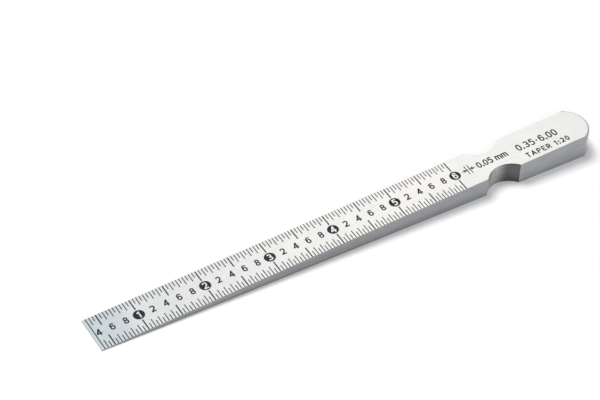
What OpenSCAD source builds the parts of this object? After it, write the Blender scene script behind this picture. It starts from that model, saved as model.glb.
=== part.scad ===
// Taper gauge: one wedge of ground steel that reads the width of a gap by how far it slides in.
// +X runs from the thin tip to the handle, +Y across the blade, +Z up from the flat underside.

/* [Measuring wedge] */
// Length of blade for each millimetre of thickness
taper_run = 20; // [16:0.5:25]
// Width across the parallel sides
blade_w = 12; // [10:0.1:16]
// Plain metal between the tip and the first line
tip_land = 1; // [0.6:0.1:2]

/* [Neck and handle] */
// Last line of the scale to the narrowest place of the neck
neck_gap = 12.8; // [11:0.1:20]
// Width left at the narrowest place of the neck
neck_w = 6.5; // [5:0.1:8]
// Radius of the two neck cut-outs
neck_r = 7; // [5:0.1:8]
// Narrowest place of the neck to the far end
handle_l = 31.8; // [24:0.1:45]
// How far the rounded end stands out past its corners
end_crown = 3.4; // [2:0.1:4.5]
// Chamfer along the rims of the rounded end
end_break = 0.25; // [0.15:0.05:0.5]

/* [Scale] */
// Thickness at the first line
scale_from = 0.35; // [0.3:0.05:0.9]
// Thickness at the last line
scale_to = 6; // [4:0.5:8]
// Thickness between neighbouring lines
scale_step = 0.05; // [0.05:0.05:0.1]
// Diameter of the discs behind the whole numbers
disc_d = 3.2; // [2.6:0.1:3.6]
// Clear metal between a disc and the line that points at it
disc_gap = 0.4; // [0.2:0.1:0.8]
// How much shorter each lesser kind of line is
line_drop = 1; // [0.5:0.1:1.2]
// Width of the long lines
long_line_w = 0.35; // [0.2:0.05:0.4]
// Width of all other lines
line_w = 0.26; // [0.15:0.01:0.35]
// Depth of lines and discs
etch_depth = 0.05; // [0.03:0.01:0.1]

/* [Hidden] */
$fn = 120;

// Every tenth line is long and every other one is middling.
long_every = 10;
mid_every = 2;
first_line = round(scale_from / scale_step);
last_line = round(scale_to / scale_step);

// Thickness and length follow from the taper.
taper_deg = atan(1 / taper_run);
tip_t = scale_from - tip_land / taper_run;
function x_of(thick) = taper_run * (thick - tip_t);
function thick_at(x) = tip_t + x / taper_run;

// Places along the gauge, from the tip.
neck_x = x_of(scale_to) + neck_gap;
overall_l = neck_x + handle_l;
neck_axis_y = neck_w / 2 + neck_r;

// The end is an arc through its two corners and its crown.
end_r = (pow(blade_w / 2, 2) + pow(end_crown, 2)) / (2 * end_crown);
end_axis_x = overall_l - end_r;

// Long lines stop a clear gap short of the discs.
long_line_l = (blade_w - disc_d) / 2 - disc_gap;

// How far cutting shapes run past the metal.
past = 1;

function line_l(i) =
    i % long_every == 0 ? long_line_l :
    i % mid_every == 0 ? long_line_l - line_drop :
    long_line_l - 2 * line_drop;

function line_width(i) = i % long_every == 0 ? long_line_w : line_w;

// Moves its children onto the sloping face where the gauge has the given thickness.
module on_scale_face(thick, y = 0) {
    translate([x_of(thick), y, thick])
        rotate([0, -taper_deg, 0])
            children();
}

// Side view: flat below, one straight slope above from tip to end.
module wedge() {
    far_x = overall_l + past;
    rotate([90, 0, 0])
        linear_extrude(blade_w + 2 * past, center = true)
            polygon([[0, 0], [far_x, 0], [far_x, thick_at(far_x)], [0, tip_t]]);
}

// Top view: parallel sides, a round cut-out on each side of the neck, a rounded end.
module plan_outline() {
    difference() {
        intersection() {
            translate([-past, -blade_w / 2])
                square([overall_l + 2 * past, blade_w]);
            union() {
                translate([-past, -end_r - past])
                    square([end_axis_x + past, 2 * (end_r + past)]);
                translate([end_axis_x, 0])
                    circle(end_r);
            }
        }
        for (side = [-1, 1])
            translate([neck_x, side * neck_axis_y])
                circle(neck_r);
    }
}

// Ring that chamfers the rim of the rounded end, cutting upwards from its own XY plane.
module rim_chamfer() {
    intersection() {
        rotate_extrude()
            polygon([
                [end_r - end_break - past, past],
                [end_r + past, past],
                [end_r + past, -end_break - past]
            ]);
        translate([0, -end_r - past, -end_r])
            cube([end_r + past, 2 * (end_r + past), 2 * end_r]);
    }
}

module end_chamfers() {
    on_scale_face(thick_at(end_axis_x))
        rim_chamfer();
    translate([end_axis_x, 0, 0])
        mirror([0, 0, 1])
            rim_chamfer();
}

// One line of the scale, run in from a side edge.
module scale_line(i, side) {
    reach = line_l(i) + past;
    on_scale_face(i * scale_step, side * (blade_w / 2 + past - reach / 2))
        cube([line_width(i), reach, 2 * etch_depth], center = true);
}

// The scale: a first line right across, then lines along both edges and a disc at each whole number.
module scale_marks() {
    on_scale_face(first_line * scale_step)
        cube([line_w, blade_w + 2 * past, 2 * etch_depth], center = true);
    for (i = [first_line + 1 : last_line], side = [-1, 1])
        scale_line(i, side);
    for (whole = [ceil(scale_from) : floor(scale_to)])
        on_scale_face(whole)
            cylinder(h = 2 * etch_depth, d = disc_d, center = true);
}

module gauge_body() {
    color("gainsboro")
        translate([-overall_l / 2, 0, 0])
            difference() {
                intersection() {
                    wedge();
                    translate([0, 0, -past])
                        linear_extrude(thick_at(overall_l) + 2 * past)
                            plan_outline();
                }
                end_chamfers();
                scale_marks();
            }
}

gauge_body();
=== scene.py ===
"""Dresses the taper gauge in its finishes and sets it in a plain pale studio.

Places on the gauge are in millimetres: x from the tip towards the handle, y across from the middle, z up from
the underside. They become metres of the shared frame where a mesh is made.
"""

import logging
import math
from collections import Counter
from collections.abc import Sequence
from dataclasses import dataclass
from enum import Enum, auto
from typing import Any

import bmesh
import bpy
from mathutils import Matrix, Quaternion, Vector
from mathutils.geometry import delaunay_2d_cdt


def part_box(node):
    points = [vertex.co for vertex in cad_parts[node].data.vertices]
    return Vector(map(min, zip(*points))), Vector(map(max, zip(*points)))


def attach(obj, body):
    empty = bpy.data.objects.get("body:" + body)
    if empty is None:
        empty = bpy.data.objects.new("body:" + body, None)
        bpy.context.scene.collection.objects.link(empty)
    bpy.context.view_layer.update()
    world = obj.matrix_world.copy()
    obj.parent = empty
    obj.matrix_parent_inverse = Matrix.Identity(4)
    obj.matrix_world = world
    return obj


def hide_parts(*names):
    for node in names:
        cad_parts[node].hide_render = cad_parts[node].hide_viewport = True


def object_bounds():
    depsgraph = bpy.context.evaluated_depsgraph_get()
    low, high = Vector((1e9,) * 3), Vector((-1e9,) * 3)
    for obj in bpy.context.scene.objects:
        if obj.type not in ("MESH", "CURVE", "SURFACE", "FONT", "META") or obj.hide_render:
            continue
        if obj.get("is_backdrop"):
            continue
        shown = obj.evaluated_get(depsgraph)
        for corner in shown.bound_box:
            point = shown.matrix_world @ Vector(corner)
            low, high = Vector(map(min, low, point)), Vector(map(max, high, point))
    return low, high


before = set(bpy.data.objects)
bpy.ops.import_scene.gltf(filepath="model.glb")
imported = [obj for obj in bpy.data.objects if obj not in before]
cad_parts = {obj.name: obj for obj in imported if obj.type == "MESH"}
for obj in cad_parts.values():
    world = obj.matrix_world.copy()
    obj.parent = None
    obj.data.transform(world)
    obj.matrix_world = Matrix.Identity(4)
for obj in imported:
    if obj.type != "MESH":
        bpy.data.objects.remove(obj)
CAD_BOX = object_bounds()

LOG = logging.getLogger("taper_gauge")
NODE = "gauge_body"
BODY = "root"
MM = 0.001

# The width that the frame gives is rounded to this many digits of a millimetre.
WIDTH_DIGITS = 3

# Points of an outline that lie closer together than this, in millimetres, are one point.
SAME_POINT = 1e-6

Point = tuple[float, float]
Loop = list[Point]
Colour = tuple[float, float, float, float]


# Helpers

def linear(hex_colour: str) -> Colour:
    """Turns an sRGB hex colour into linear light.

    Args:
        hex_colour: Six hex digits after a hash sign.

    Returns:
        Red, green, blue and an alpha of 1.
    """
    shares = [int(hex_colour[i:i + 2], 16) / 255 for i in (1, 3, 5)]
    # The numbers are those of the sRGB standard.
    red, green, blue = (s / 12.92 if s <= 0.04045 else ((s + 0.055) / 1.055) ** 2.4 for s in shares)
    return red, green, blue, 1.0


def add_node(tree: bpy.types.NodeTree, kind: str, inputs: dict[str | int, Any],
             **settings: Any) -> bpy.types.Node:
    """Adds a node to a tree, with its settings and links.

    Args:
        tree: The tree that gets the node.
        kind: Blender's name for the type of node.
        inputs: For each input, by name or number, the socket that feeds it or its value.
        settings: The node's own properties.

    Returns:
        The new node.
    """
    node = tree.nodes.new(kind)
    for name, value in settings.items():
        setattr(node, name, value)
    for name, value in inputs.items():
        if isinstance(value, bpy.types.NodeSocket):
            tree.links.new(value, node.inputs[name])
        else:
            node.inputs[name].default_value = value
    return node


def new_material(name: str) -> bpy.types.Material:
    """Makes a material with an empty node tree.

    Args:
        name: The material's name.

    Returns:
        The material.
    """
    material = bpy.data.materials.new(name)
    material.use_nodes = True
    material.node_tree.nodes.clear()
    return material


def add_object(name: str, data: bpy.types.ID | None) -> bpy.types.Object:
    """Puts a mesh, lamp or camera into the scene.

    Args:
        name: The object's name.
        data: What the object shows.

    Returns:
        The object.
    """
    item = bpy.data.objects.new(name, data)
    bpy.context.scene.collection.objects.link(item)
    return item


def drop_loose(mesh: bpy.types.Mesh) -> None:
    """Removes the points of a mesh that no face uses.

    Args:
        mesh: The mesh, which is changed.
    """
    work = bmesh.new()
    work.from_mesh(mesh)
    bmesh.ops.delete(work, geom=[v for v in work.verts if not v.link_faces], context="VERTS")
    work.to_mesh(mesh)
    work.free()


def round_points(x: float, y: float, rx: float, ry: float, start: float, end: float, steps: int,
                 fullness: float = 2.0) -> Loop:
    """Gives points along part of an ellipse, or of a squarer round.

    Args:
        x: Middle of the round along x.
        y: Middle of the round along y.
        rx: Half of its width.
        ry: Half of its height.
        start: Angle of the first point, in degrees.
        end: Angle of the last point, in degrees. Below start, the points run clockwise.
        steps: Number of steps from the first point to the last.
        fullness: 2 for an ellipse, and more for a squarer round.

    Returns:
        The points, one more than the steps.
    """
    points = []
    for step in range(steps + 1):
        angle = math.radians(start + (end - start) * step / steps)
        across = math.cos(angle)
        up = math.sin(angle)
        points.append((
            x + rx * math.copysign(abs(across) ** (2 / fullness), across),
            y + ry * math.copysign(abs(up) ** (2 / fullness), up),
        ))
    return points


# Finishes

# How many finer layers the noise in steel and in coatings has.
STEEL_DETAIL = 2.0
COATING_DETAIL = 3.0

# Noise stays near its middle: this stretch of it is spread from the dull to the bright colour.
NOISE_LOW = 0.35
NOISE_HIGH = 0.65


class LineRun(Enum):
    """Which way the fine lines of a cut surface run: for each axis, whether a line is long that way."""

    ALONG = (True, False, False)
    LEVEL = (True, True, False)


@dataclass(frozen=True)
class Tint:
    """Painted shade: a darker colour laid over a finish on one stretch of the gauge, where it stands in for a
    darker reflection.

    It is full at one place and on from there, and has faded out at the other. Both are along x, in
    millimetres of the shared frame.
    """

    colour: str
    full_at: float
    gone_at: float

    def lay_over(self, tree: bpy.types.NodeTree, where: bpy.types.NodeSocket,
                 colour: bpy.types.NodeSocket) -> bpy.types.Node:
        """Adds the nodes that lay the painted shade over a colour.

        Args:
            tree: The material's tree.
            where: Gives places on the gauge.
            colour: Gives the colour without the painted shade.

        Returns:
            The node that gives the colour with the painted shade.
        """
        place = add_node(tree, "ShaderNodeSeparateXYZ", {"Vector": where})
        fade = add_node(tree, "ShaderNodeMapRange", interpolation_type="SMOOTHSTEP", inputs={
            "Value": place.outputs["X"], "From Min": self.full_at * MM, "From Max": self.gone_at * MM,
            "To Min": 1.0, "To Max": 0.0})
        return add_node(tree, "ShaderNodeMixRGB", blend_type="MULTIPLY", inputs={
            "Fac": fade.outputs["Result"], "Color1": colour, "Color2": linear(self.colour)})


@dataclass(frozen=True)
class CutSteel:
    """Bare hardened steel with the fine lines that a wheel or cutter leaves. Lengths are in millimetres."""

    name: str
    bright: str
    dull: str
    roughness: tuple[float, float]
    run: LineRun
    line_gap: float
    line_length: float
    line_depth: float
    cloud: float = 7.0
    cloud_share: float = 0.3
    # Painted shade laid over the colour on one stretch, if any.
    tint: Tint | None = None

    def make(self) -> bpy.types.Material:
        """Makes the material: lines and faint clouds vary colour and gloss, and the lines are also cut in.

        Returns:
            The material.
        """
        material = new_material(self.name)
        tree = material.node_tree
        where = add_node(tree, "ShaderNodeTexCoord", {})
        scale = [1 / (MM * (self.line_length if long else self.line_gap)) for long in self.run.value]
        stretched = add_node(tree, "ShaderNodeMapping", {"Vector": where.outputs["Object"], "Scale": scale})
        lines = add_node(tree, "ShaderNodeTexNoise", {
            "Vector": stretched.outputs["Vector"], "Scale": 1.0, "Detail": STEEL_DETAIL})
        clouds = add_node(tree, "ShaderNodeTexNoise", {
            "Vector": where.outputs["Object"], "Scale": 1 / (MM * self.cloud), "Detail": STEEL_DETAIL})
        both = add_node(tree, "ShaderNodeMix", {
            "Factor": self.cloud_share, "A": lines.outputs["Fac"], "B": clouds.outputs["Fac"]})
        share = add_node(tree, "ShaderNodeMapRange", {
            "Value": both.outputs["Result"], "From Min": NOISE_LOW, "From Max": NOISE_HIGH})
        colour = add_node(tree, "ShaderNodeMixRGB", {
            "Fac": share.outputs["Result"], "Color1": linear(self.dull), "Color2": linear(self.bright)})
        # Painted shade: a darker colour over one stretch of the gauge, for a darker reflection there.
        if self.tint:
            colour = self.tint.lay_over(tree, where.outputs["Object"], colour.outputs["Color"])
        smooth, rough = self.roughness
        gloss = add_node(tree, "ShaderNodeMapRange", {
            "Value": share.outputs["Result"], "To Min": rough, "To Max": smooth})
        relief = add_node(tree, "ShaderNodeBump", {
            "Height": lines.outputs["Fac"], "Distance": self.line_depth * MM})
        steel = add_node(tree, "ShaderNodeBsdfPrincipled", {
            "Base Color": colour.outputs["Color"], "Metallic": 1.0,
            "Roughness": gloss.outputs["Result"], "Normal": relief.outputs["Normal"]})
        add_node(tree, "ShaderNodeOutputMaterial", {"Surface": steel.outputs["BSDF"]})
        return material


@dataclass(frozen=True)
class Coating:
    """A dull coat or sheet with a fine grain. Lengths are in millimetres."""

    name: str
    light: str
    dark: str
    roughness: float
    specular: float
    grain: float
    grain_height: float

    def make(self) -> bpy.types.Material:
        """Makes the material: one grain varies the colour a little and roughens the surface.

        Returns:
            The material.
        """
        material = new_material(self.name)
        tree = material.node_tree
        where = add_node(tree, "ShaderNodeTexCoord", {})
        grain = add_node(tree, "ShaderNodeTexNoise", {
            "Vector": where.outputs["Object"], "Scale": 1 / (MM * self.grain), "Detail": COATING_DETAIL})
        colour = add_node(tree, "ShaderNodeMixRGB", {
            "Fac": grain.outputs["Fac"], "Color1": linear(self.dark), "Color2": linear(self.light)})
        relief = add_node(tree, "ShaderNodeBump", {
            "Height": grain.outputs["Fac"], "Distance": self.grain_height * MM})
        coat = add_node(tree, "ShaderNodeBsdfPrincipled", {
            "Base Color": colour.outputs["Color"], "Roughness": self.roughness,
            "Specular IOR Level": self.specular, "Normal": relief.outputs["Normal"]})
        add_node(tree, "ShaderNodeOutputMaterial", {"Surface": coat.outputs["BSDF"]})
        return material


# A fine wheel runs lengthways over the two measuring faces: bright and silky, with faint lines along the
# gauge. The thin tip is painted a little darker and bluish: painted shade that stands in for a darker, bluish
# reflection there. The real lines lie about 0.05 mm apart, so they are drawn wider apart to show at all.
SURFACE_GROUND_STEEL = CutSteel(
    name="surface_ground_steel", bright="#ECEBE6", dull="#E5E5E1", roughness=(0.28, 0.33),
    run=LineRun.ALONG, line_gap=0.2, line_length=45.0, line_depth=0.001,
    tint=Tint("#EDF3F6", full_at=-71.5, gone_at=-66.0),
)

# The sides are ground coarser and aren't finished further, with plainer lines along the gauge. Their cooler,
# deeper grey is partly painted shade: it stands in for the darker floor that the sides mirror. Towards the
# thin tip they are painted a little darker still, as painted shade for more of the floor's shadow mirrored
# there. The real lines lie about 0.1 mm apart, and are drawn wider apart to show.
SIDE_GROUND_STEEL = CutSteel(
    name="side_ground_steel", bright="#B3B4B7", dull="#A8A9AC", roughness=(0.54, 0.62),
    run=LineRun.ALONG, line_gap=0.35, line_length=30.0, line_depth=0.003,
    tint=Tint("#E6E5E3", full_at=-30.0, gone_at=105.0),
)

# A wheel goes round the end, with level lines that follow the curve. It is painted as grey as the sides,
# which is partly painted shade: it stands in for the darker surroundings that the end mirrors, and shows the
# broken rim of the end as a darker line. The lines too are drawn wider apart than the real 0.1 mm.
END_GROUND_STEEL = CutSteel(
    name="end_ground_steel", bright="#BABAB9", dull="#A6A6A5", roughness=(0.48, 0.56),
    run=LineRun.LEVEL, line_gap=0.3, line_length=14.0, line_depth=0.003,
)

# A cutter goes round the neck, with level lines that follow the curve. The cut-outs are painted darker on the
# handle's side: painted shade that stands in for the dark reflection there. The real lines lie about 0.1 mm
# apart, and are drawn wider apart to show.
FORM_MILLED_STEEL = CutSteel(
    name="form_milled_steel", bright="#CACACA", dull="#A6A6A6", roughness=(0.32, 0.44),
    run=LineRun.LEVEL, line_gap=0.25, line_length=14.0, line_depth=0.004, cloud_share=0.15,
    tint=Tint("#868585", full_at=50.5, gone_at=45.5),
)

# Matt black paint is rubbed into the etched marks: a deep cool black with next to no shine. Its real grain is
# too fine to see, and is drawn coarser.
BLACK_ETCH_PAINT = Coating(
    name="black_etch_paint", light="#262C32", dark="#1D2228", roughness=0.65, specular=0.3,
    grain=0.2, grain_height=0.003,
)

# White studio paper lies under the gauge: dull, nearly even, and open to soft shadows. Its fibres are too
# fine to see, so a coarser grain stands for them.
WHITE_STUDIO_PAPER = Coating(
    name="white_studio_paper", light="#FAFAFA", dark="#F7F7F7", roughness=0.9, specular=0.0,
    grain=3.0, grain_height=0.005,
)


# Lettering

# Sharp turns get a shortened mitre: one plus the cosine of the turn counts as no less than this.
SHARPEST_MITRE = 0.3


class Cut(Enum):
    """How a stroke of a letter ends."""

    FLUSH = auto()
    PROUD = auto()
    LEVEL = auto()


@dataclass(frozen=True)
class Stroke:
    """The middle line of one pen stroke.

    A flush end stops at its point, a proud one runs on by half the pen's width, and a level one does so in
    height and is cut off level.
    """

    path: tuple[Point, ...]
    start: Cut = Cut.FLUSH
    end: Cut = Cut.FLUSH
    closed: bool = False

    def outlines(self, pen: float) -> list[Loop]:
        """Draws the stroke with a pen.

        Args:
            pen: Width of the pen, in the units of the path.

        Returns:
            The outline, and for a closed stroke also the outline of the space inside it.
        """
        half = pen / 2
        last = len(self.path) - 1
        left = []
        right = []
        for i, (x, y) in enumerate(self.path):
            before = self.direction(i - 1) if self.closed or i > 0 else None
            after = self.direction(i) if self.closed or i < last else None
            shift_x, shift_y = self.shift(before, after, half)
            if before is None:
                x, y = self.run_on((x, y), (-after[0], -after[1]), self.start, half)
            if after is None:
                x, y = self.run_on((x, y), before, self.end, half)
            left.append((x + shift_x, y + shift_y))
            right.append((x - shift_x, y - shift_y))
        return [right, left] if self.closed else [right + left[::-1]]

    def direction(self, i: int) -> Point:
        """Gives the way of the path from one of its points to the next.

        Args:
            i: Number of the point.

        Returns:
            The way as a unit vector.
        """
        x0, y0 = self.path[i]
        x1, y1 = self.path[(i + 1) % len(self.path)]
        length = math.hypot(x1 - x0, y1 - y0)
        return (x1 - x0) / length, (y1 - y0) / length

    def shift(self, before: Point | None, after: Point | None, half: float) -> Point:
        """Finds how far the left outline lies from a point of the path.

        Args:
            before: Way of the path up to the point, or None at its start.
            after: Way of the path from the point on, or None at its end.
            half: Half of the pen's width.

        Returns:
            The step from the path to its left outline.
        """
        if before is None or after is None:
            way_x, way_y = after or before
            if (self.start if before is None else self.end) is Cut.LEVEL:
                return -half / way_y, 0.0
            return -way_y * half, way_x * half
        side_x = -before[1] - after[1]
        side_y = before[0] + after[0]
        reach = half / max(1 + before[0] * after[0] + before[1] * after[1], SHARPEST_MITRE)
        return side_x * reach, side_y * reach

    def run_on(self, point: Point, way: Point, cut: Cut, half: float) -> Point:
        """Moves an end of the path on as its cut says.

        Args:
            point: The end of the path.
            way: Unit vector that leads out of the path there.
            cut: How the stroke ends.
            half: Half of the pen's width.

        Returns:
            Where the stroke ends.
        """
        further = {Cut.FLUSH: 0.0, Cut.PROUD: half}.get(cut)
        if further is None:
            further = half / abs(way[1])
        return point[0] + way[0] * further, point[1] + way[1] * further


# Rounds of the letters are a little squarer than an ellipse, with a point every 10 degrees or so.
LETTER_FULLNESS = 2.25
LETTER_STEP = 10

# How much larger than the pen a dot is, each way.
DOT_GROWTH = 0.07


def bow(x: float, y: float, rx: float, ry: float, start: float, end: float) -> tuple[Point, ...]:
    """Gives the points of a round stretch of a letter, in the letter's own units."""
    steps = round(abs(end - start) / LETTER_STEP)
    return tuple(round_points(x, y, rx, ry, start, end, steps, LETTER_FULLNESS))


def eye(x: float, y: float, rx: float, ry: float) -> Stroke:
    """Gives a closed round stroke, in the letter's own units."""
    return Stroke(bow(x, y, rx, ry, 0, 360)[:-1], closed=True)


def bar(*path: Point, cut: Cut = Cut.PROUD) -> Stroke:
    """Gives a straight or bent stroke that ends alike on both sides."""
    return Stroke(path, cut, cut)


def dot(y: float) -> tuple[Stroke, ...]:
    """Gives a square dot a little larger than the pen, in the letter's own units."""
    return tuple(bar((0.0, y + up), (DOT_GROWTH, y + up)) for up in (0.0, DOT_GROWTH))


# Each letter is a width and the middle lines of its strokes, in a box whose height is 1 between the middle
# lines of its top and bottom strokes.
LETTERS: dict[str, tuple[float, tuple[Stroke, ...]]] = {
    "0": (0.52, (eye(0.26, 0.5, 0.26, 0.5),)),
    "1": (0.30, (bar((0.26, 0), (0.26, 1)), Stroke(((0.0, 0.76), (0.26, 1))))),
    "2": (0.52, (
        Stroke(bow(0.26, 0.71, 0.26, 0.29, 165, -45) + ((0.03, 0.0),)),
        bar((0.0, 0.0), (0.52, 0.0)),
    )),
    "3": (0.52, (
        Stroke(bow(0.25, 0.755, 0.23, 0.245, 155, -90) + ((0.16, 0.51),)),
        Stroke(((0.16, 0.51),) + bow(0.25, 0.255, 0.27, 0.255, 90, -155)),
    )),
    "4": (0.60, (
        Stroke(((0.42, 1.0), (0.0, 0.25), (0.60, 0.25)), start=Cut.LEVEL, end=Cut.PROUD),
        bar((0.45, 0.0), (0.45, 1.0)),
    )),
    "5": (0.52, (
        Stroke(((0.46, 1.0), (0.08, 1.0), (0.05, 0.5)), start=Cut.PROUD),
        Stroke(bow(0.25, 0.32, 0.27, 0.32, 140, -150)),
    )),
    "6": (0.52, (
        Stroke(bow(0.27, 0.62, 0.27, 0.38, 30, 180) + ((0.0, 0.31),)),
        eye(0.26, 0.31, 0.26, 0.31),
    )),
    "8": (0.52, (eye(0.26, 0.755, 0.225, 0.245), eye(0.26, 0.255, 0.26, 0.255))),
    ".": (DOT_GROWTH, dot(0.0)),
    ":": (DOT_GROWTH, dot(0.0) + dot(0.58)),
    "-": (0.36, (bar((0.04, 0.46), (0.32, 0.46), cut=Cut.FLUSH),)),
    "m": (0.80, (
        bar((0.0, 0.0), (0.0, 0.7)),
        Stroke(bow(0.2, 0.48, 0.2, 0.22, 180, 0) + ((0.4, 0.0),), end=Cut.PROUD),
        Stroke(bow(0.6, 0.48, 0.2, 0.22, 180, 0) + ((0.8, 0.0),), end=Cut.PROUD),
    )),
    "A": (0.72, (
        bar((0.0, 0.0), (0.36, 1.0), cut=Cut.LEVEL),
        bar((0.72, 0.0), (0.36, 1.0), cut=Cut.LEVEL),
        bar((0.13, 0.3), (0.59, 0.3), cut=Cut.FLUSH),
    )),
    "E": (0.50, (
        bar((0.5, 1.0), (0.0, 1.0), (0.0, 0.0), (0.5, 0.0)),
        bar((0.0, 0.52), (0.48, 0.52), cut=Cut.FLUSH),
    )),
    "P": (0.56, (
        bar((0.0, 0.0), (0.0, 1.0)),
        Stroke(((0.0, 1.0),) + bow(0.3, 0.725, 0.26, 0.275, 90, -90) + ((0.0, 0.45),)),
    )),
    "R": (0.58, (
        bar((0.0, 0.0), (0.0, 1.0)),
        Stroke(((0.0, 1.0),) + bow(0.3, 0.735, 0.26, 0.265, 90, -90) + ((0.0, 0.47),)),
        Stroke(((0.28, 0.47), (0.56, 0.0)), end=Cut.LEVEL),
    )),
    "T": (0.60, (bar((0.0, 1.0), (0.6, 1.0)), bar((0.3, 0.0), (0.3, 1.0)))),
    " ": (0.12, ()),
}


class Layer(Enum):
    """What a shape on the sloping face is: etched, an etched disc, or left standing inside such a disc."""

    ETCHED = auto()
    DISC = auto()
    STANDING = auto()


@dataclass(frozen=True)
class Shape:
    """One shape of the scale: what it is, its outline, and the outline of any space inside it."""

    layer: Layer
    loops: list[Loop]


@dataclass(frozen=True)
class Lettering:
    """Upright lettering of one size, drawn with one pen. Lengths are in millimetres."""

    height: float
    pen: float
    gap: float = 0.0

    def width(self, letter: str) -> float:
        """Gives the full width of a letter."""
        return LETTERS[letter][0] * (self.height - self.pen) + self.pen

    def write(self, text: str, x: float, y: float, layer: Layer = Layer.ETCHED) -> list[Shape]:
        """Sets a line of text about a middle point.

        Args:
            text: The letters.
            x: Middle of the line along the gauge.
            y: Middle of the line across the gauge.
            layer: What the letters are on the face.

        Returns:
            The shapes of all strokes.
        """
        scale = self.height - self.pen
        left = x - (sum(map(self.width, text)) + self.gap * (len(text) - 1)) / 2
        foot = y - scale / 2
        shapes = []
        for letter in text:
            start = left + self.pen / 2
            for stroke in LETTERS[letter][1]:
                loops = stroke.outlines(self.pen / scale)
                shapes.append(Shape(layer, [
                    [(start + px * scale, foot + py * scale) for px, py in loop] for loop in loops
                ]))
            left += self.width(letter) + self.gap
        return shapes


def rectangle(x: float, y: float, width: float, height: float) -> Shape:
    """Gives an etched rectangle.

    Args:
        x: Its middle along the gauge.
        y: Its middle across the gauge.
        width: Its size along the gauge.
        height: Its size across the gauge.

    Returns:
        The shape.
    """
    right = x + width / 2
    top = y + height / 2
    return Shape(Layer.ETCHED, [[
        (right - width, top - height), (right, top - height), (right, top), (right - width, top),
    ]])


# The figures along the scale and in the step sign.
FIGURES = Lettering(height=2.35, pen=0.42, gap=0.12)


@dataclass(frozen=True)
class StepSign:
    """The sign for one step of the scale, with its lengths in millimetres.

    Two bars stand side by side. A line runs through both, with an arrow that points at each from outside, and
    the step follows in figures.
    """

    bar_gap: float = 1.0
    bar_w: float = 0.28
    bar_h: float = 3.5
    line_l: float = 4.5
    line_w: float = 0.24
    arrow_l: float = 1.0
    arrow_w: float = 1.24
    text: str = "0.05 mm"
    # From the middle between the bars to the middle of the text.
    text_lead: float = 7.91

    def shapes(self, x: float, y: float) -> list[Shape]:
        """Lays out the sign.

        Args:
            x: Middle between the bars along the gauge.
            y: Middle of the sign across the gauge.

        Returns:
            The shapes of the sign.
        """
        shapes = [rectangle(x, y, self.line_l, self.line_w)]
        for side in (-1, 1):
            tip = x + side * self.bar_gap / 2
            back = tip + side * self.arrow_l
            shapes.append(rectangle(tip, y, self.bar_w, self.bar_h))
            head = [(tip, y), (back, y - self.arrow_w / 2), (back, y + self.arrow_w / 2)]
            # Both heads run the same way round.
            shapes.append(Shape(Layer.ETCHED, [head[::side]]))
        return shapes + FIGURES.write(self.text, x + self.text_lead, y)


@dataclass(frozen=True)
class Caption:
    """A line of lettering on the handle, with its middle given from the last line of the scale."""

    text: str
    lettering: Lettering
    lead: float
    y: float

    def shapes(self, last_line: float) -> list[Shape]:
        """Lays out the caption, given the place of the last line along the gauge."""
        return self.lettering.write(self.text, last_line + self.lead, self.y)


# The measuring range, and below it the steepness of the slope.
RANGE_CAPTION = Caption("0.35-6.00", Lettering(height=2.6, pen=0.43, gap=0.25), lead=27.7, y=0.08)
SLOPE_CAPTION = Caption("TAPER 1:20", Lettering(height=1.95, pen=0.38, gap=0.42), lead=29.0, y=-3.79)


# The gauge

@dataclass(frozen=True)
class Taper:
    """The wedge's one slope, and the way from places on the gauge to the shared frame."""

    tip: Vector
    tip_thickness: float = 0.3
    run: float = 20.0

    def x_of(self, thickness: float) -> float:
        """Gives the place along the gauge where it has a thickness."""
        return (thickness - self.tip_thickness) * self.run

    def face(self, x: float) -> float:
        """Gives the height of the sloping face at a place along the gauge."""
        return self.tip_thickness + x / self.run

    def place(self, x: float, y: float, z: float) -> Vector:
        """Turns a place on the gauge into metres of the shared frame."""
        return self.tip + MM * Vector((x, y, z))


@dataclass(frozen=True)
class FacePlan:
    """The sloping face in triangles, seen from above, told apart by whether they are etched."""

    points: Loop
    land: list[tuple[int, ...]]
    etched: list[tuple[int, ...]]
    rim: list[int]

    def etched_border(self) -> list[tuple[int, int]]:
        """Lists the edges between etched and standing metal, with the etched side on their left."""
        land_edges = {(t[i], t[i - 1]) for t in self.land for i in range(3)}
        return [(t[i - 1], t[i]) for t in self.etched for i in range(3) if (t[i - 1], t[i]) in land_edges]


def plan_face(rim: Loop, shapes: Sequence[Shape]) -> FacePlan:
    """Cuts a flat face into triangles along the outlines of the shapes on it.

    Args:
        rim: Outline of the face.
        shapes: Shapes inside it, which may overlap one another.

    Returns:
        The triangles, with those that are etched told apart.
    """
    loops = [rim]
    shape_of: list[Shape | None] = [None]
    for shape in shapes:
        loops += shape.loops
        shape_of += [shape] * len(shape.loops)
    corners = [Vector(point) for loop in loops for point in loop]
    faces = []
    first = 0
    for loop in loops:
        faces.append(list(range(first, first + len(loop))))
        first += len(loop)
    # In this mode only what lies inside a loop is cut into triangles.
    inside_loops = 1
    with_owners = True
    points, _, triangles, came_from, _, owners = delaunay_2d_cdt(
        corners, [], faces, inside_loops, SAME_POINT, with_owners)

    land = []
    etched = []
    for triangle, owner in zip(triangles, owners):
        if not owner:
            continue
        # Inside both loops of a closed stroke is the space that it goes round.
        times = Counter(id(shape_of[n]) for n in owner)
        covering = {shape_of[n].layer for n in owner if shape_of[n] and times[id(shape_of[n])] == 1}
        in_disc = Layer.DISC in covering and Layer.STANDING not in covering
        (etched if in_disc or Layer.ETCHED in covering else land).append(tuple(triangle))
    now_at = {old: new for new, olds in enumerate(came_from) for old in olds}
    return FacePlan([tuple(p) for p in points], land, etched, [now_at[i] for i in range(len(rim))])


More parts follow.
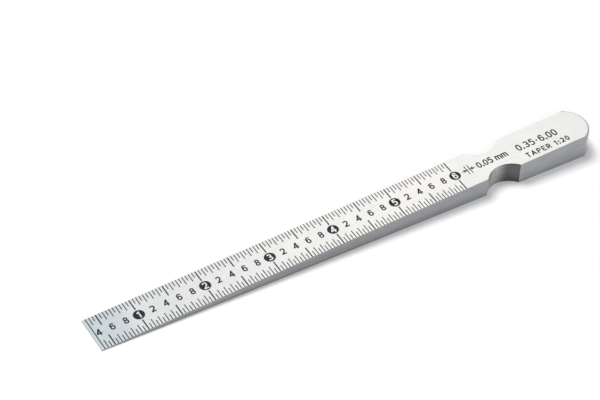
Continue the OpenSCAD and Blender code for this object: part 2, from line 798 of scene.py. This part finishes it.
@dataclass(frozen=True)
class EtchedScale:
    """The thickness scale on the slope: pockets in the steel and the black paint that fills them.

    Thicknesses and lengths are in millimetres.
    """

    taper: Taper
    blade_w: float
    first: float = 0.35
    last: float = 6.0
    step: float = 0.05
    long_every: int = 10
    mid_every: int = 2
    disc_d: float = 3.32
    disc_points: int = 64
    # Clear metal between a disc and the line that points at it.
    disc_gap: float = 0.34
    # How much shorter each lesser kind of line is.
    line_drop: float = 1.0
    long_line_w: float = 0.38
    line_w: float = 0.275
    # Clear metal between the end of a line and the edge of the gauge, which is broken.
    line_stop: float = 0.04
    # The pockets are this deep, and the paint in them ends this far below the face.
    depth: float = 0.05
    paint_below: float = 0.01
    finish: Coating = BLACK_ETCH_PAINT
    # There is a number for every so many tenths. Those between the discs stand a little past their lines.
    number_every: int = 2
    number_lead: float = 0.12
    disc_figures: Lettering = Lettering(height=2.35, pen=0.39)
    # The step sign stands this far past the last line, and this far from the middle of the gauge.
    sign: StepSign = StepSign()
    sign_lead: float = 4.57
    sign_y: float = 0.1
    captions: tuple[Caption, ...] = (RANGE_CAPTION, SLOPE_CAPTION)

    def lines(self) -> list[Shape]:
        """Lays out the first line right across and the lines along both edges.

        Returns:
            One rectangle for each line.
        """
        edge = self.blade_w / 2 - self.line_stop
        long_l = (self.blade_w - self.disc_d) / 2 - self.disc_gap - self.line_stop
        shapes = [rectangle(self.taper.x_of(self.first), 0.0, self.line_w, 2 * edge)]
        for i in range(round(self.first / self.step) + 1, round(self.last / self.step) + 1):
            is_long = i % self.long_every == 0
            shorter = 0 if is_long else 1 if i % self.mid_every == 0 else 2
            length = long_l - shorter * self.line_drop
            for side in (-1, 1):
                shapes.append(rectangle(self.taper.x_of(i * self.step), side * (edge - length / 2),
                                        self.long_line_w if is_long else self.line_w, length))
        return shapes

    def numbers(self) -> list[Shape]:
        """Lays out a disc with its number at each whole millimetre, and even tenths between them.

        Returns:
            The discs and the strokes of all numbers.
        """
        tenths_in_mm = 10
        lowest = math.ceil(self.first * tenths_in_mm)
        highest = round(self.last * tenths_in_mm)
        shapes = []
        for tenths in range(lowest, highest + 1, self.number_every):
            x = self.taper.x_of(tenths / tenths_in_mm)
            whole, part = divmod(tenths, tenths_in_mm)
            if part:
                shapes += FIGURES.write(str(part), x + self.number_lead, 0.0)
            else:
                radius = self.disc_d / 2
                disc = round_points(x, 0.0, radius, radius, 0, 360, self.disc_points)[:-1]
                shapes.append(Shape(Layer.DISC, [disc]))
                shapes += self.disc_figures.write(str(whole), x, 0.0, Layer.STANDING)
        return shapes

    def plan(self, rim: Loop) -> FacePlan:
        """Cuts the sloping face along all marks.

        Args:
            rim: Outline of the face.

        Returns:
            The face in triangles.
        """
        last_line = self.taper.x_of(self.last)
        marks = self.lines() + self.numbers() + self.sign.shapes(last_line + self.sign_lead, self.sign_y)
        for caption in self.captions:
            marks += caption.shapes(last_line)
        return plan_face(rim, marks)

    def build(self, plan: FacePlan) -> bpy.types.Object:
        """Builds the paint in the pockets as closed thin blocks.

        Args:
            plan: The sloping face with its etched parts.

        Returns:
            The piece.
        """
        count = len(plan.points)
        verts = [
            self.taper.place(x, y, self.taper.face(x) - down)
            for down in (self.paint_below, self.depth) for x, y in plan.points
        ]
        faces = list(plan.etched)
        faces += [tuple(i + count for i in reversed(t)) for t in plan.etched]
        faces += [(a + count, b + count, b, a) for a, b in plan.etched_border()]
        mesh = bpy.data.meshes.new("scale_paint")
        mesh.from_pydata(verts, [], faces)
        drop_loose(mesh)
        return add_object("scale_paint", mesh)

    def dress(self, piece: bpy.types.Object) -> None:
        """Paints the fill and ties it to the gauge.

        Args:
            piece: The paint in the pockets.
        """
        piece.data.materials.append(self.finish.make())
        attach(piece, BODY)


class Region(Enum):
    """The body's faces by how they were cut. The value is the number of the material slot."""

    GROUND = 0
    SIDE = 1
    NECK = 2
    END = 3


@dataclass(frozen=True)
class Bend:
    """A round stretch of the outline from above: middle, radius, angles in degrees, and how it was cut.

    The last field gives how far it belongs to the rounded end, from 0 to 1, at its first and its last point.
    """

    x: float
    y: float
    radius: float
    start: float
    end: float
    steps: int
    region: Region = Region.SIDE
    at_end: tuple[float, float] = (0.0, 0.0)

    def mirrored(self) -> "Bend":
        """Gives the same bend on the far side, still run round the same way."""
        return Bend(self.x, -self.y, self.radius, -self.end, -self.start, self.steps, self.region,
                    self.at_end[::-1])

    def arc(self) -> Loop:
        """Gives the points of the bend."""
        return round_points(self.x, self.y, self.radius, self.radius, self.start, self.end, self.steps)


@dataclass(frozen=True)
class GaugeBody:
    """The one-piece steel body. Lengths are in millimetres."""

    taper: Taper
    length: float
    blade_w: float
    neck_x: float = 126.8
    neck_w: float = 6.5
    neck_r: float = 7.0
    end_crown: float = 3.4
    # The rims of the rounded end are broken this deep, and over this width as seen from above.
    end_break: float = 0.25
    end_break_w: float = 0.45
    # All other edges are broken this much.
    edge_break: float = 0.03
    tip_corner_r: float = 0.1
    neck_corner_r: float = 0.15
    end_corner_r: float = 0.5
    # In how many steps each kind of round stretch is drawn.
    tip_steps: int = 4
    corner_steps: int = 6
    neck_steps: int = 40
    end_steps: int = 48
    break_steps: int = 3
    # Faces that meet at less than this angle are shaded as one.
    smooth_below: float = math.radians(12)

    def bends(self, inset: float, end_inset: float) -> list[Bend]:
        """Finds the round stretches of the outline, moved in from its nominal place.

        Args:
            inset: How far the sides, the tip and the cut-outs move in.
            end_inset: How far the rounded end moves in.

        Returns:
            The bends in order, anticlockwise from the tip's corner on the near side.
        """
        half = self.blade_w / 2
        corner = self.tip_corner_r
        tip = Bend(corner, corner - half, corner - inset, 180, 270, self.tip_steps)

        corner = self.neck_corner_r
        neck_y = self.neck_w / 2 + self.neck_r
        rise = neck_y - half + corner
        reach = math.sqrt((self.neck_r + corner) ** 2 - rise ** 2)
        lean = math.degrees(math.atan2(rise, reach))
        into_neck = Bend(self.neck_x - reach, corner - half, corner - inset, 270, 360 - lean,
                         self.corner_steps)
        neck = Bend(self.neck_x, -neck_y, self.neck_r + inset, 180 - lean, lean,
                    self.neck_steps, Region.NECK)
        out_of_neck = Bend(self.neck_x + reach, corner - half, corner - inset, 180 + lean, 270,
                           self.corner_steps)

        end_r = (half ** 2 + self.end_crown ** 2) / (2 * self.end_crown)
        end_x = self.length - end_r
        side = self.end_corner_r - half
        reach = math.sqrt((end_r - end_inset - self.end_corner_r + inset) ** 2 - side ** 2)
        lean = math.degrees(math.atan2(-side, reach))
        end_corner = Bend(end_x + reach, side, self.end_corner_r - inset, 270, 360 - lean,
                          self.corner_steps, Region.END, (0.0, 1.0))
        end = Bend(end_x, 0.0, end_r - end_inset, -lean, lean,
                   self.end_steps, Region.END, (1.0, 1.0))

        near = [tip, into_neck, neck, out_of_neck, end_corner]
        return near + [end] + [bend.mirrored() for bend in reversed(near)]

    def outline(self, inset: float, end_inset: float) -> list[tuple[float, float, float]]:
        """Draws the outline from above, moved in from its nominal place.

        Args:
            inset: How far the sides, the tip and the cut-outs move in.
            end_inset: How far the rounded end moves in.

        Returns:
            For each point its place, and its share of the rounded end: 0 on the sides and 1 on the end.
        """
        points = []
        for bend in self.bends(inset, end_inset):
            first, last = bend.at_end
            arc = [(x, y, first + (last - first) * i / bend.steps) for i, (x, y) in enumerate(bend.arc())]
            joined = points and math.dist(points[-1][:2], arc[0][:2]) < SAME_POINT
            points += arc[1:] if joined else arc
        return points

    def regions(self) -> list[Region]:
        """Tells how the walls were cut.

        Returns:
            For each point of the outline, the region of the wall that follows it.
        """
        found = []
        here = None
        for bend in self.bends(0.0, 0.0):
            arc = bend.arc()
            if here and math.dist(here, arc[0]) < SAME_POINT:
                found.pop()
            found += [bend.region] * bend.steps + [Region.SIDE]
            here = arc[-1]
        return found

    def rim(self) -> Loop:
        """Gives the outline of the sloping face inside its broken edges."""
        return [(x, y) for x, y, _ in self.outline(self.edge_break, self.end_break_w)]

    def build(self, plan: FacePlan, etch_depth: float) -> bpy.types.Object:
        """Builds the body: the etched slope, broken edges, walls and underside, as one closed mesh.

        Args:
            plan: The sloping face with its etched parts.
            etch_depth: Depth of the etched parts.

        Returns:
            The piece.
        """
        place = self.taper.place
        face = self.taper.face
        count = len(plan.points)
        verts = [place(x, y, face(x)) for x, y in plan.points]
        verts += [place(x, y, face(x) - etch_depth) for x, y in plan.points]
        faces = [(t, Region.GROUND) for t in plan.land]
        faces += [(tuple(i + count for i in t), Region.GROUND) for t in plan.etched]
        faces += [((a, b, b + count, a + count), Region.GROUND) for a, b in plan.etched_border()]

        # Each ring is one level of the broken edges, from the slope down to the underside.
        rings = [plan.rim]
        levels = [step / self.break_steps for step in range(self.break_steps + 1)]
        for top, way in [(True, t) for t in levels[1:]] + [(False, t) for t in reversed(levels)]:
            turn = way * math.pi / 2
            outline = self.outline(self.edge_break * (1 - math.sin(turn)), self.end_break_w * (1 - way))
            side_drop = self.edge_break * (1 - math.cos(turn))
            end_drop = self.end_break * way
            rings.append(list(range(len(verts), len(verts) + len(outline))))
            for x, y, share in outline:
                drop = side_drop + (end_drop - side_drop) * share
                verts.append(place(x, y, face(x) - drop if top else drop))
        for upper, lower in zip(rings, rings[1:]):
            for i, region in enumerate(self.regions()):
                after = (i + 1) % len(upper)
                faces.append(((lower[i], lower[after], upper[after], upper[i]), region))
        under = plan_face(self.rim(), [])
        back = {new: rings[-1][old] for old, new in enumerate(under.rim)}
        faces += [(tuple(back[i] for i in reversed(t)), Region.GROUND) for t in under.land]

        mesh = bpy.data.meshes.new("steel_body")
        mesh.from_pydata(verts, [], [corners for corners, _ in faces])
        mesh.polygons.foreach_set("material_index", [region.value for _, region in faces])
        drop_loose(mesh)
        mesh.shade_smooth()
        mesh.set_sharp_from_angle(angle=self.smooth_below)
        return add_object("steel_body", mesh)

    def dress(self, piece: bpy.types.Object) -> None:
        """Gives each region its finish and ties the body to its node.

        Args:
            piece: The steel body.
        """
        finishes = {
            Region.GROUND: SURFACE_GROUND_STEEL, Region.SIDE: SIDE_GROUND_STEEL,
            Region.NECK: FORM_MILLED_STEEL, Region.END: END_GROUND_STEEL,
        }
        for region in Region:
            piece.data.materials.append(finishes[region].make())
        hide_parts(NODE)
        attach(piece, BODY)


# The studio

@dataclass(frozen=True)
class Softbox:
    """A square lamp that faces the gauge.

    Its azimuth counts from +Y towards +X and its elevation from the floor, in degrees. Lengths are in metres,
    and the power is in watts. Only a mirrored lamp shows in the steel.
    """

    name: str
    azimuth: float
    elevation: float
    distance: float
    size: float
    power: float
    colour: str = "#FFFFFF"
    mirrored: bool = False

    def build(self) -> bpy.types.Object:
        """Hangs the lamp.

        Returns:
            The lamp.
        """
        light = bpy.data.lights.new(self.name, "AREA")
        light.size = self.size
        light.energy = self.power
        light.color = linear(self.colour)[:3]
        lamp = add_object(self.name, light)
        around = math.radians(self.azimuth)
        up = math.radians(self.elevation)
        way = Vector((math.sin(around) * math.cos(up), math.cos(around) * math.cos(up), math.sin(up)))
        lamp.location = way * self.distance
        lamp.visible_glossy = self.mirrored
        lamp.rotation_euler = way.to_track_quat("Z", "Y").to_euler()
        return lamp


@dataclass(frozen=True)
class Studio:
    """Floor, lamps, surroundings and camera. Lengths are in metres."""

    floor_size: float = 8.0
    floor_below: float = 0.00002
    # A large lamp from behind on the left throws the shadow to the near side and the right end.
    key: Softbox = Softbox(
        "key_softbox", azimuth=-20.0, elevation=69.0, distance=2.0, size=0.9, power=29.9)
    # One behind the camera lightens that shadow. Its own shadow lies behind the gauge.
    front: Softbox = Softbox(
        "front_softbox", azimuth=-147.7, elevation=50.0, distance=2.0, size=1.3, power=15.3)
    # A small one stands where the sloping face mirrors it to the camera.
    card: Softbox = Softbox(
        "mirror_softbox", azimuth=32.0, elevation=46.0, distance=1.2, size=0.34, power=0.224,
        colour="#FFE3CD", mirrored=True)
    fill: str = "#FFFFFF"
    fill_strength: float = 0.16
    surroundings: str = "#EAF1F8"
    backdrop: str = "#FFFFFF"
    # The roll is in degrees. Lens and sensor are in millimetres.
    camera_at: Vector = Vector((-0.240562, -0.354986, 0.427904))
    camera_aim: Vector = Vector((-0.005140, 0.017832, 0.0))
    camera_roll: float = 2.410
    lens: float = 131.361
    sensor: float = 36.0

    def build(self) -> None:
        """Builds the floor, lamps, surroundings and camera."""
        self.lay_floor()
        for lamp in (self.key, self.front, self.card):
            lamp.build()
        self.light_surroundings()
        self.set_camera()
        bpy.context.scene.view_settings.view_transform = "Standard"

    def lay_floor(self) -> None:
        """Lays the white paper a hair under the gauge."""
        reach = self.floor_size / 2
        corners = [(-reach, -reach), (reach, -reach), (reach, reach), (-reach, reach)]
        mesh = bpy.data.meshes.new("floor")
        mesh.from_pydata([(x, y, -self.floor_below) for x, y in corners], [], [(0, 1, 2, 3)])
        mesh.materials.append(WHITE_STUDIO_PAPER.make())
        add_object("floor", mesh)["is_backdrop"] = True

    def light_surroundings(self) -> None:
        """Lights the room: white to the camera, pale to steel that mirrors it, a soft fill to the rest."""
        world = bpy.data.worlds.new("studio_room")
        bpy.context.scene.world = world
        world.use_nodes = True
        tree = world.node_tree
        tree.nodes.clear()
        path = add_node(tree, "ShaderNodeLightPath", {})
        mirrored = add_node(tree, "ShaderNodeMath", operation="MAXIMUM", inputs={
            0: path.outputs["Is Glossy Ray"], 1: path.outputs["Is Transmission Ray"]})
        fill = add_node(tree, "ShaderNodeBackground", {
            "Color": linear(self.fill), "Strength": self.fill_strength})
        room = add_node(tree, "ShaderNodeBackground", {"Color": linear(self.surroundings)})
        white = add_node(tree, "ShaderNodeBackground", {"Color": linear(self.backdrop)})
        lit = add_node(tree, "ShaderNodeMixShader", {
            0: mirrored.outputs["Value"], 1: fill.outputs["Background"], 2: room.outputs["Background"]})
        shown = add_node(tree, "ShaderNodeMixShader", {
            0: path.outputs["Is Camera Ray"], 1: lit.outputs["Shader"], 2: white.outputs["Background"]})
        add_node(tree, "ShaderNodeOutputWorld", {"Surface": shown.outputs["Shader"]})

    def set_camera(self) -> None:
        """Sets up the camera at the photograph's viewing angle."""
        data = bpy.data.cameras.new("camera")
        data.sensor_fit = "HORIZONTAL"
        data.sensor_width = self.sensor
        data.lens = self.lens
        camera = add_object("camera", data)
        camera.location = self.camera_at
        level = (self.camera_aim - self.camera_at).to_track_quat("-Z", "Y")
        roll = Quaternion((0.0, 0.0, 1.0), math.radians(self.camera_roll))
        camera.rotation_euler = (level @ roll).to_euler()
        bpy.context.scene.camera = camera


def main() -> None:
    """Builds the gauge and the studio, and logs how many faces each piece has."""
    logging.basicConfig(level=logging.INFO, format="%(message)s")
    low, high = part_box(NODE)
    width = round((high.y - low.y) / MM, WIDTH_DIGITS)
    taper = Taper(tip=Vector((low.x, 0.0, low.z)))
    body = GaugeBody(taper=taper, length=(high.x - low.x) / MM, blade_w=width)
    scale = EtchedScale(taper=taper, blade_w=width)
    plan = scale.plan(body.rim())

    steel = body.build(plan, scale.depth)
    body.dress(steel)
    paint = scale.build(plan)
    scale.dress(paint)
    for piece in (steel, paint):
        LOG.info("%s: %d faces", piece.name, len(piece.data.polygons))
    Studio().build()
    LOG.info("studio is set")

    boxes = {"cad": CAD_BOX, "visual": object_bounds()}
    {name: [list(corner) for corner in box] for name, box in boxes.items()}


if __name__ == "__main__":
    main()
